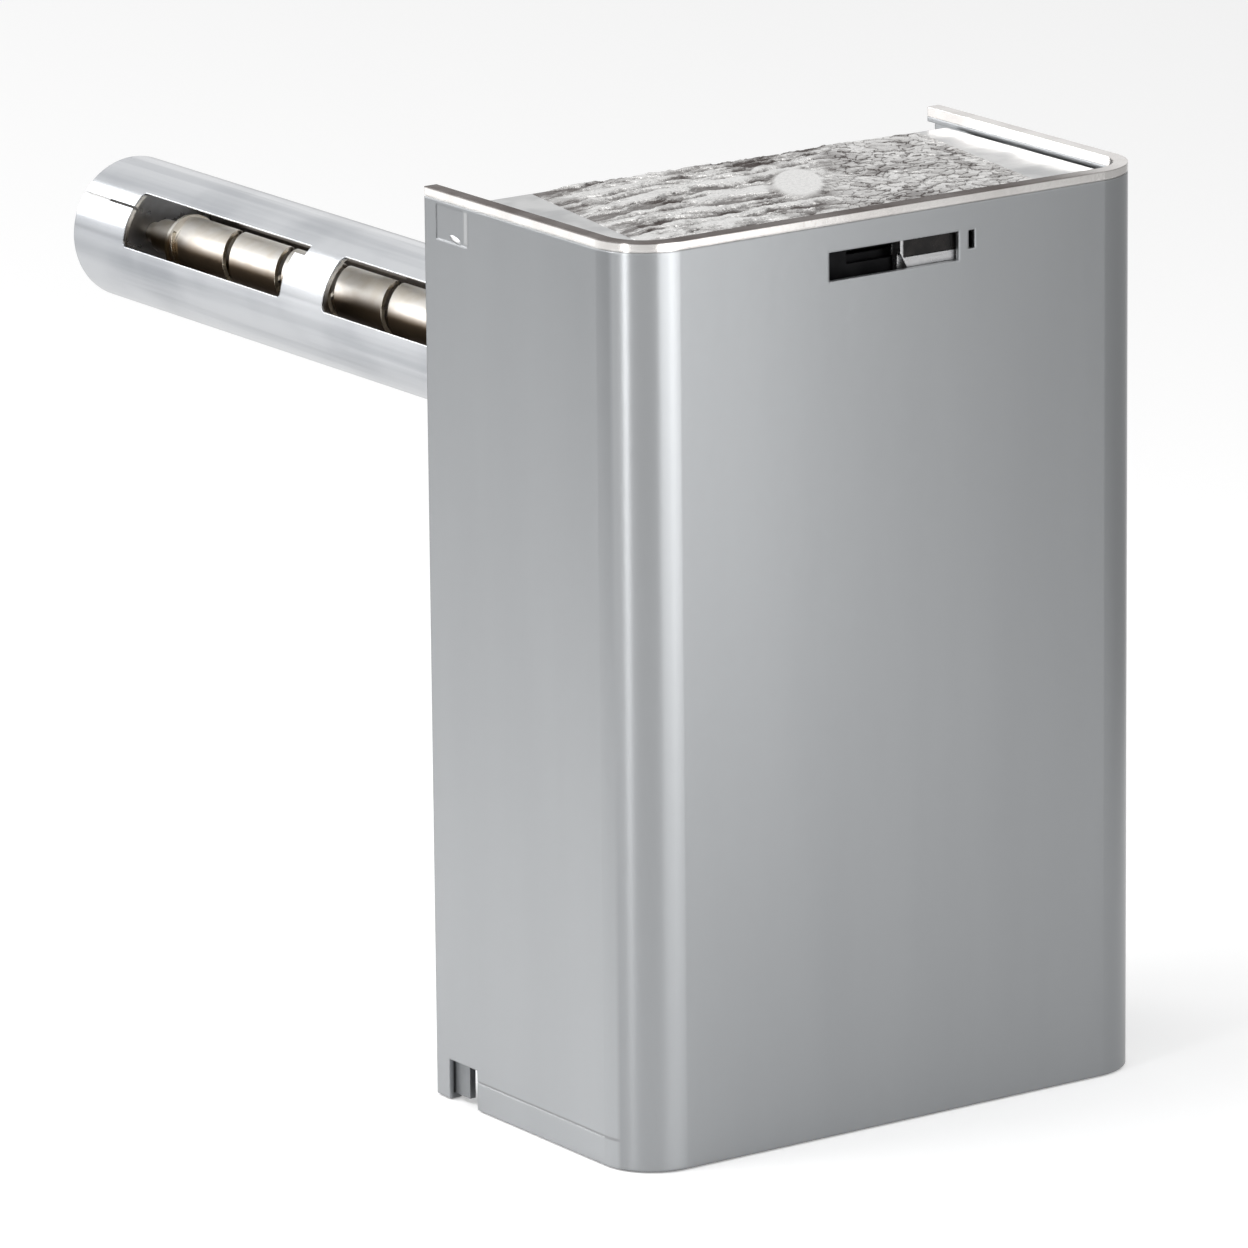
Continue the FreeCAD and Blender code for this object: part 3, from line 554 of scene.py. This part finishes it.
outward = sum(
    face.normal.x * face.center.x + face.normal.z * face.center.z for face in helix.data.polygons)
if outward < 0:
    helix.data.flip_normals()
helix.data.materials.append(ribbon_edge)
thickness = helix.modifiers.new("thickness", "SOLIDIFY")
thickness.thickness = ribbon_sheet
thickness.offset = 1.0
thickness.use_rim = True
thickness.material_offset_rim = 1
settle(helix)
sharpen(helix.data)
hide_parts("bimetal_helix")
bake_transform(helix)

# ---------------------------------------------------------------------------------------------------
# Anchor post: a turned brass stub with a bright collar, which holds the tip of the ribbon in a plate
# pressed into the end of the tube.

post_radius = 0.004
brass, field, shader = new_finish("turned_brass", {})
place = field.make("ShaderNodeTexCoord", output="Object")
cloud = field.make("ShaderNodeTexNoise", {}, {"Vector": place, "Scale": 250.0, "Detail": 3.0})
ring = field.make("ShaderNodeMapping", {}, {"Vector": place, "Scale": (0.1, 1.0, 0.1)})
tool_mark = field.make("ShaderNodeTexNoise", {}, {"Vector": ring, "Scale": 1800.0, "Detail": 4.0})
# The upper left side is painted near white, a painted reflection; the under side keeps the brass's brown.
painted_lit_side = facing_up(place, post_radius)
painted_reflection_brass = cloud.between(0.35, 0.7).tint(rgb(253, 249, 242), rgb(240, 231, 216))
painted_lit_side.tint(rgb(120, 100, 74), painted_reflection_brass).feed(shader, "Base Color")
(0.85 - painted_lit_side * 0.6).feed(shader, "Metallic")
(0.30 + (cloud - 0.5) * 0.12 + (tool_mark - 0.5) * 0.12).feed(shader, "Roughness")
bump = {"Height": tool_mark, "Strength": 1.0, "Distance": 0.000006}
field.make("ShaderNodeBump", {}, bump).feed(shader, "Normal")
dress(["anchor_post"], brass)

# ---------------------------------------------------------------------------------------------------
# Shaft and bearings: a ground steel shaft in two discs of oil-filled sintered bronze, whose pores show
# as dark specks.

ground_steel = metal("ground_steel", rgb(200, 201, 204), rgb(182, 183, 186), 0.18, patch=0.006,
                     streak=(1, 12, 1), streak_size=0.002, variation=0.06)
dress(["shaft"], ground_steel)
sintered, field, shader = new_finish("sintered_bronze", {"Metallic": 1.0})
place = field.make("ShaderNodeTexCoord", output="Object")
grain = field.make("ShaderNodeTexVoronoi", {}, {"Vector": place, "Scale": 3200.0}, "Distance")
pore = 1 - grain.between(0.12, 0.30)
pore.tint(rgb(176, 140, 84), rgb(84, 62, 38)).feed(shader, "Base Color")
(0.38 + pore * 0.3).feed(shader, "Roughness")
field.make("ShaderNodeBump", {}, {"Height": grain, "Distance": 0.00002}).feed(shader, "Normal")
dress(["shaft_bearings"], sintered)

# ---------------------------------------------------------------------------------------------------
# Dial and its tabs: a satin aluminium disc with marks pressed into it, and three enamelled steel tabs
# that clamp on its hub. The screws are zinc plated.

dial_face = metal("satin_dial", rgb(214, 214, 215), rgb(200, 200, 201), 0.34, patch=0.02,
                  streak_size=0.0005, variation=0.06)
dress(["dial"], dial_face)


def enamel(name, colour, worn_colour):
    """Thin baked enamel on steel, a little orange-peeled, which wears paler in patches."""
    finish, field, shader = new_finish(name, {"Coat Weight": 0.3, "Coat Roughness": 0.15})
    place = field.make("ShaderNodeTexCoord", output="Object")
    cloud = field.make("ShaderNodeTexNoise", {}, {"Vector": place, "Scale": 240.0, "Detail": 4.0})
    peel = field.make("ShaderNodeTexNoise", {}, {"Vector": place, "Scale": 1500.0, "Detail": 2.0})
    cloud.between(0.45, 0.72).tint(colour, worn_colour).feed(shader, "Base Color")
    (0.32 + (cloud - 0.5) * 0.2).feed(shader, "Roughness")
    eased = field.make("ShaderNodeBevel", {"samples": 4}, {"Radius": 0.0002})
    bump = {"Height": peel, "Strength": 1.0, "Distance": 0.00001, "Normal": eased}
    field.make("ShaderNodeBump", {}, bump).feed(shader, "Normal")
    return finish


dress(["fan_off_tab", "fan_on_tab"], enamel("blue_enamel", rgb(52, 92, 150), rgb(70, 108, 162)))
dress(["limit_tab"], enamel("red_enamel", rgb(164, 40, 34), rgb(182, 62, 52)))
dress(["hub_screw", "dial_screw", "dial_washer", "bracket_screws", "lever_pins", "terminal_screws",
       "block_screws"], zinc_screw)
dress(["ground_screw"], enamel("green_dyed_zinc", rgb(44, 122, 62), rgb(70, 140, 84)))

# ---------------------------------------------------------------------------------------------------
# Switch gear: folded zinc-plated steel for the pointer and the levers, black phosphated steel for the
# bracket and the override arm, dark phenolic mouldings for the snap switches and the terminal blocks, and
# natural nylon plungers.

folded_zinc = metal("folded_zinc", rgb(198, 199, 200), rgb(178, 180, 178), 0.32, patch=0.008,
                    streak=(1, 1, 0.12), streak_size=0.0010)
dress(["dial_pointer", "fan_lever", "limit_lever"], folded_zinc)
black_phosphate = metal("black_phosphate", rgb(26, 26, 27), rgb(34, 34, 35), 0.55, patch=0.004,
                        streak_size=0.0004)
dress(["switch_bracket", "override_arm"], black_phosphate)


def moulding(name, colour, bloom, roughness):
    """Moulded plastic with a faint flow bloom and a fine spark-eroded texture."""
    finish, field, shader = new_finish(name, {})
    place = field.make("ShaderNodeTexCoord", output="Object")
    flow = field.make("ShaderNodeTexNoise", {}, {"Vector": place, "Scale": 130.0, "Detail": 3.0})
    spark = field.make("ShaderNodeTexNoise", {}, {"Vector": place, "Scale": 4200.0, "Detail": 2.0})
    flow.between(0.4, 0.7).tint(colour, bloom).feed(shader, "Base Color")
    (roughness + (flow - 0.5) * 0.14).feed(shader, "Roughness")
    eased = field.make("ShaderNodeBevel", {"samples": 4}, {"Radius": 0.0003})
    bump = {"Height": spark, "Strength": 1.0, "Distance": 0.00001, "Normal": eased}
    field.make("ShaderNodeBump", {}, bump).feed(shader, "Normal")
    return finish


dress(["fan_switch", "limit_switch", "fan_terminal_block", "limit_terminal_block"],
      moulding("dark_phenolic", rgb(52, 46, 42), rgb(66, 59, 53), 0.42))
dress(["fan_plunger", "limit_plunger"],
      moulding("natural_nylon", rgb(226, 221, 206), rgb(214, 207, 188), 0.36))
dress(["fan_straps", "limit_straps", "jumper_link"],
      metal("brass_strip", rgb(214, 184, 122), rgb(190, 154, 96), 0.26, patch=0.006,
            streak=(1, 1, 0.15), streak_size=0.0009))

# ---------------------------------------------------------------------------------------------------
# Slider: a bright plated carrier with a dark glossy cap on its face, sliding on a rail of phosphated
# black steel behind the slot.

dress(["slider_rail"], black_phosphate)
dress(["fan_slider"], metal("bright_carrier", rgb(190, 190, 191), rgb(172, 172, 173), 0.26, patch=0.004,
                            streak=(0.15, 1, 1), streak_size=0.0006))
cap_gloss, field, shader = new_finish("glossy_cap", {
    "Specular IOR Level": 0.2, "Coat Weight": 0.1, "Coat Roughness": 0.08})
place = field.make("ShaderNodeTexCoord", output="Object")
smear = field.make("ShaderNodeTexNoise", {}, {"Vector": place, "Scale": 320.0, "Detail": 4.0})
smear.between(0.4, 0.7).tint(rgb(14, 13, 13), rgb(30, 27, 26)).feed(shader, "Base Color")
(0.16 + smear * 0.16).feed(shader, "Roughness")
field.make("ShaderNodeBump", {}, {"Height": smear, "Distance": 0.00004}).feed(shader, "Normal")
dress(["slider_cap"], cap_gloss)

# ---------------------------------------------------------------------------------------------------
# Foil: household-thickness aluminium foil, crumpled, smoothed out again and stuck to the top shelf.
# It lies in long wrinkles at one end and in small facets at the other, round one smooth blister. Its
# creases and facets are painted darker, as painted shade and painted dark reflections.

foil_low, foil_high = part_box("foil_liner")
foil_middle = (foil_low + foil_high) / 2
foil_size = foil_high - foil_low
foil_slant = 0.008
blister_place = (0.002, -0.030)
blister_lean = (0.56, 0.83)
blister_size = (0.0125, 0.0048)


def folds(start, spot):
    """How high the foil stands, and how dark its creases and facets are painted as painted shade and dark
    reflections, both from 0 to 1, at a place on it.
    """
    spot = start.make("ShaderNodeVectorMath", {"operation": "MULTIPLY"}, {0: spot, 1: (1.0, 1.0, 0.0)})
    across_foil = spot.axis("X") - blister_place[0]
    back_foil = spot.axis("Y") - blister_place[1]
    down_blister = across_foil * blister_lean[0] + back_foil * blister_lean[1]
    over_blister = across_foil * blister_lean[1] - back_foil * blister_lean[0]
    bend = start.make("ShaderNodeTexNoise", {}, {"Vector": spot, "Scale": 90.0, "Detail": 4.0}, "Color")
    drift = start.make("ShaderNodeVectorMath", {"operation": "SCALE"}, {0: bend, "Scale": 0.008})
    bent = start.make("ShaderNodeVectorMath", {"operation": "ADD"}, {0: spot, 1: drift})
    long_way = start.make("ShaderNodeVectorMath", {"operation": "MULTIPLY"}, {0: bent, 1: (0.12, 1.0, 1.0)})
    swell = start.make("ShaderNodeTexNoise", {}, {
        "Vector": long_way, "Scale": 330.0, "Detail": 6.0, "Roughness": 0.66})
    streak = swell.between(0.42, 0.60)
    squashed = start.make("ShaderNodeVectorMath", {"operation": "MULTIPLY"}, {0: bent, 1: (0.6, 1.0, 1.0)})
    facet = start.make("ShaderNodeTexVoronoi", {}, {"Vector": squashed, "Scale": 640.0}, "Color")
    facet_tone = facet.axis("X")
    seam = start.make("ShaderNodeTexVoronoi", {"feature": "DISTANCE_TO_EDGE"},
                      {"Vector": squashed, "Scale": 640.0}, "Distance")
    crease_shade_line = 1 - seam.between(0.0, 0.08)
    broad = start.make("ShaderNodeTexNoise", {}, {"Vector": bent, "Scale": 120.0, "Detail": 3.0})
    far_side = over_blister.between(0.0020, 0.0090)
    height = (1 - streak) * (1 - far_side) + (facet_tone * 0.6 + seam) * far_side
    # The troughs of the wrinkles, the crease lines and some facets are painted darker, as painted shade and
    # painted dark reflections, with a random broad tone over them.
    dark = streak * 0.9 * (1 - far_side) + (crease_shade_line * 0.65 + facet_tone * 0.45) * far_side
    dark = dark + (broad.between(0.48, 0.66) - 0.25) * 0.45
    from_blister = start.math("SQRT", (down_blister / blister_size[0]) ** 2.0
                              + (over_blister / blister_size[1]) ** 2.0)
    blister = 1 - from_blister.between(0.75, 1.05)
    height = (height * 0.6 + broad * 0.4) * (1 - blister) + blister * 0.9
    return height, start.math("MULTIPLY", dark, 1 - blister, clamp=True)


def darken(finish, field, shader, share, colour):
    """Mixes a matt dark shader over a shader by a share that varies over the surface, to paint shade and
    dark reflections.
    """
    matt_shader = finish.node_tree.nodes.new("ShaderNodeBsdfPrincipled")
    matt_shader.inputs["Base Color"].default_value = colour
    matt_shader.inputs["Roughness"].default_value = 0.7
    matt_shader.inputs["Specular IOR Level"].default_value = 0.12
    mixed = field.make("ShaderNodeMixShader", {}, {"Fac": share})
    finish.node_tree.links.new(shader.outputs[0], mixed.socket.node.inputs[1])
    finish.node_tree.links.new(matt_shader.outputs[0], mixed.socket.node.inputs[2])
    mixed.feed(finish.node_tree.nodes["Material Output"], "Surface")


tree, given = geometry_tree("crumpled_foil", {
    "Length": "Float", "Depth": "Float", "Slant": "Float", "Rise": "Float", "Edge": "Float",
    "Middle": "Vector"})
start = given["Length"]
sheet = start.make("GeometryNodeMeshGrid", {}, {
    "Size X": given["Length"], "Size Y": given["Depth"], "Vertices X": 320, "Vertices Y": 210}, "Mesh")
spot = start.make("GeometryNodeInputPosition")
across_foil = spot.axis("X")
back_foil = spot.axis("Y")
slant = start.make("ShaderNodeCombineXYZ", {}, {"X": back_foil / given["Depth"] * given["Slant"]})
settled = start.make("ShaderNodeVectorMath", {"operation": "ADD"}, {0: slant, 1: given["Middle"]})
placed = start.make("ShaderNodeVectorMath", {"operation": "ADD"}, {0: spot, 1: settled})
height, dark = folds(start, placed)
near_edge = start.math("MINIMUM", given["Length"] * 0.5 - start.math("ABSOLUTE", across_foil),
                       given["Depth"] * 0.5 - start.math("ABSOLUTE", back_foil))
from_end = (given["Length"] * 0.5 - start.math("ABSOLUTE", across_foil)).between(-0.0010, 0.0070)
height = start.math("MINIMUM", height, 1.0) * from_end * near_edge.between(-0.0004, given["Edge"])
height = height * given["Rise"]
lift = start.make("ShaderNodeCombineXYZ", {}, {"Z": height + 0.00004})
moved = start.make("ShaderNodeVectorMath", {"operation": "ADD"}, {0: lift, 1: settled})
raised = start.make("GeometryNodeSetPosition", {}, {"Geometry": sheet, "Offset": moved})
foil_finish, field, shader = new_finish("crumpled_foil", {"Metallic": 1.0})
place = field.make("ShaderNodeTexCoord", output="Object")
height, dark = folds(field, place)
foil_grain = field.make("ShaderNodeTexNoise", {}, {"Vector": place, "Scale": 1800.0, "Detail": 4.0})
foil_grain.between(0.3, 0.7).tint(rgb(226, 225, 223), rgb(206, 205, 204)).feed(shader, "Base Color")
(0.20 + foil_grain * 0.16).feed(shader, "Roughness")
darken(foil_finish, field, shader, dark, rgb(70, 64, 62))
field.make("ShaderNodeBump", {}, {"Height": height, "Distance": 0.0004}).feed(shader, "Normal")
close_tree(tree, raised, foil_finish)
foil = grow("foil_sheet", tree, {
    "Length": foil_size.x + foil_slant, "Depth": foil_size.y, "Slant": foil_slant,
    "Rise": foil_size.z * 0.95, "Edge": 0.0008, "Middle": (foil_middle.x, foil_middle.y, foil_low.z)})
skin = bmesh.new()
skin.from_mesh(foil.data)
rim_edges = [edge for edge in skin.edges if edge.is_boundary]
dropped = bmesh.ops.extrude_edge_only(skin, edges=rim_edges)
lower = [item for item in dropped["geom"] if isinstance(item, bmesh.types.BMVert)]
for vert in lower:
    vert.co.z = foil_low.z
bmesh.ops.holes_fill(skin, edges=[edge for edge in skin.edges if edge.is_boundary], sides=0)
bmesh.ops.recalc_face_normals(skin, faces=skin.faces)
skin.to_mesh(foil.data)
skin.free()
sharpen(foil.data, 50)
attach(foil, "case")
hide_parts("foil_liner")

# ---------------------------------------------------------------------------------------------------
# Cover: one sheet of steel folded round the front and both sides, sprayed with a satin silver enamel
# whose flakes lie flat. The shallow rectangles beside its top rear corners are pressed in. The enamel
# is painted a little paler towards the foot at the sides and towards the top in front, as it is lit.

silver, field, shader = new_finish("satin_silver", {
    "Metallic": 0.92, "Anisotropic": 0.7, "Anisotropic Rotation": 0.25, "Coat Weight": 0.12,
    "Coat Roughness": 0.25})
place = field.make("ShaderNodeTexCoord", output="Object")
flake = field.make("ShaderNodeTexNoise", {}, {"Vector": place, "Scale": 5200.0, "Detail": 2.0})
drape = field.make("ShaderNodeMapping", {}, {"Vector": place, "Scale": (1.0, 1.0, 0.12)})
sag = field.make("ShaderNodeTexNoise", {}, {"Vector": drape, "Scale": 75.0, "Detail": 3.0})
peel = field.make("ShaderNodeTexNoise", {}, {"Vector": place, "Scale": 420.0, "Detail": 2.0})
(0.31 + (sag - 0.5) * 0.012 + (flake - 0.5) * 0.08).feed(shader, "Roughness")
eased = field.make("ShaderNodeBevel", {"samples": 4}, {"Radius": 0.0005})
side = place.axis("X")
along_side = place.axis("Y")
up_side = place.axis("Z")
on_side = field.math("ABSOLUTE", side).between(case_high.x - 0.0008, case_high.x - 0.0004)
ridge_place = (-0.0122, 0.0407)
ridge_with_highlight = 1 - field.math("ABSOLUTE", along_side - ridge_place[0]).between(0.0003, 0.0010)
ridge_with_highlight = ridge_with_highlight * (1 - field.math("ABSOLUTE", up_side - ridge_place[1]).between(0.0024, 0.0032)) * on_side
drop_place = (-0.0090, 0.0383)
drop_lean = (0.98, 0.2)
drop_size = (0.0019, 0.0006)
from_drop = (along_side - drop_place[0], up_side - drop_place[1])
down_drop = from_drop[0] * drop_lean[0] + from_drop[1] * drop_lean[1]
over_drop = from_drop[0] * drop_lean[1] - from_drop[1] * drop_lean[0]
dimple_with_highlight = field.math("SQRT", (down_drop / drop_size[0]) ** 2.0 + (over_drop / drop_size[1]) ** 2.0)
dimple_with_highlight = (1 - dimple_with_highlight.between(0.4, 1.0)) * on_side
height = (up_side - case_low.z) / (case_high.z - case_low.z)
tone = on_side * (1 - height) + (1 - on_side) * (0.36 + height * 0.29)
base = (tone + (sag - 0.5) * 0.2).tint(rgb(137, 139, 141), rgb(173, 175, 177))
# The dimple and the ridge are painted paler over their bumps, as a painted highlight.
(dimple_with_highlight + ridge_with_highlight * 0.25).tint(base, rgb(236, 236, 236)).feed(shader, "Base Color")
relief = {"Height": flake * 0.25 + peel + ridge_with_highlight * 9.0 + dimple_with_highlight * 24.0, "Strength": 1.0, "Distance": 0.00001,
          "Normal": eased}
field.make("ShaderNodeBump", {}, relief).feed(shader, "Normal")
# The foot crease is painted darker along the sides, as painted shade in its groove.
foot_crease = case_low.z + 0.00515
notch_front = -0.0130
painted_crease_shade = 1 - field.math("ABSOLUTE", up_side - foot_crease).between(0.00010, 0.00040)
painted_crease_shade = painted_crease_shade * (1 - along_side.between(notch_front, notch_front + 0.0010)) * on_side
darken(silver, field, shader, painted_crease_shade * 0.45, rgb(110, 109, 108))
dress(["cover_shell"], silver)

# ---------------------------------------------------------------------------------------------------
# Rim: a strip of bright-plated sheet clinched on the cover's folded top lip. Its flat top is painted
# dark, as a bright top that mirrors a dark room looks, and fades out towards its right end.

rim_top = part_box("cover_rim")[1].z
rim_fade = (0.030, 0.053)
bright_rim, field, shader = new_finish("bright_rim", {"Metallic": 1.0})
place = field.make("ShaderNodeTexCoord", output="Object")
cloud = field.make("ShaderNodeTexNoise", {}, {"Vector": place, "Scale": 110.0, "Detail": 3.0})
fine = field.make("ShaderNodeTexNoise", {}, {"Vector": place, "Scale": 1300.0, "Detail": 4.0})
cloud.between(0.40, 0.70).tint(rgb(246, 243, 240), rgb(232, 228, 225)).feed(shader, "Base Color")
(0.18 + (cloud - 0.5) * 0.10 + (fine - 0.5) * 0.10).feed(shader, "Roughness")
eased = field.make("ShaderNodeBevel", {"samples": 4}, {"Radius": 0.00025})
bump = {"Height": fine, "Distance": 0.00001, "Normal": eased}
field.make("ShaderNodeBump", {}, bump).feed(shader, "Normal")
flat_top = place.axis("Z").between(rim_top - 0.00030, rim_top - 0.00008)
flat_top = flat_top * (1 - place.axis("X").between(*rim_fade) * 0.75)
darken(bright_rim, field, shader, flat_top * (0.75 + cloud * 0.3), rgb(62, 54, 51))
dress(["cover_rim"], bright_rim)

# ---------------------------------------------------------------------------------------------------
# Cover screws: zinc-plated steel, driven up through the cover's folded lower lip into the chassis's
# lower shelf, clear of the table.

dress(["cover_screws"], zinc_screw)
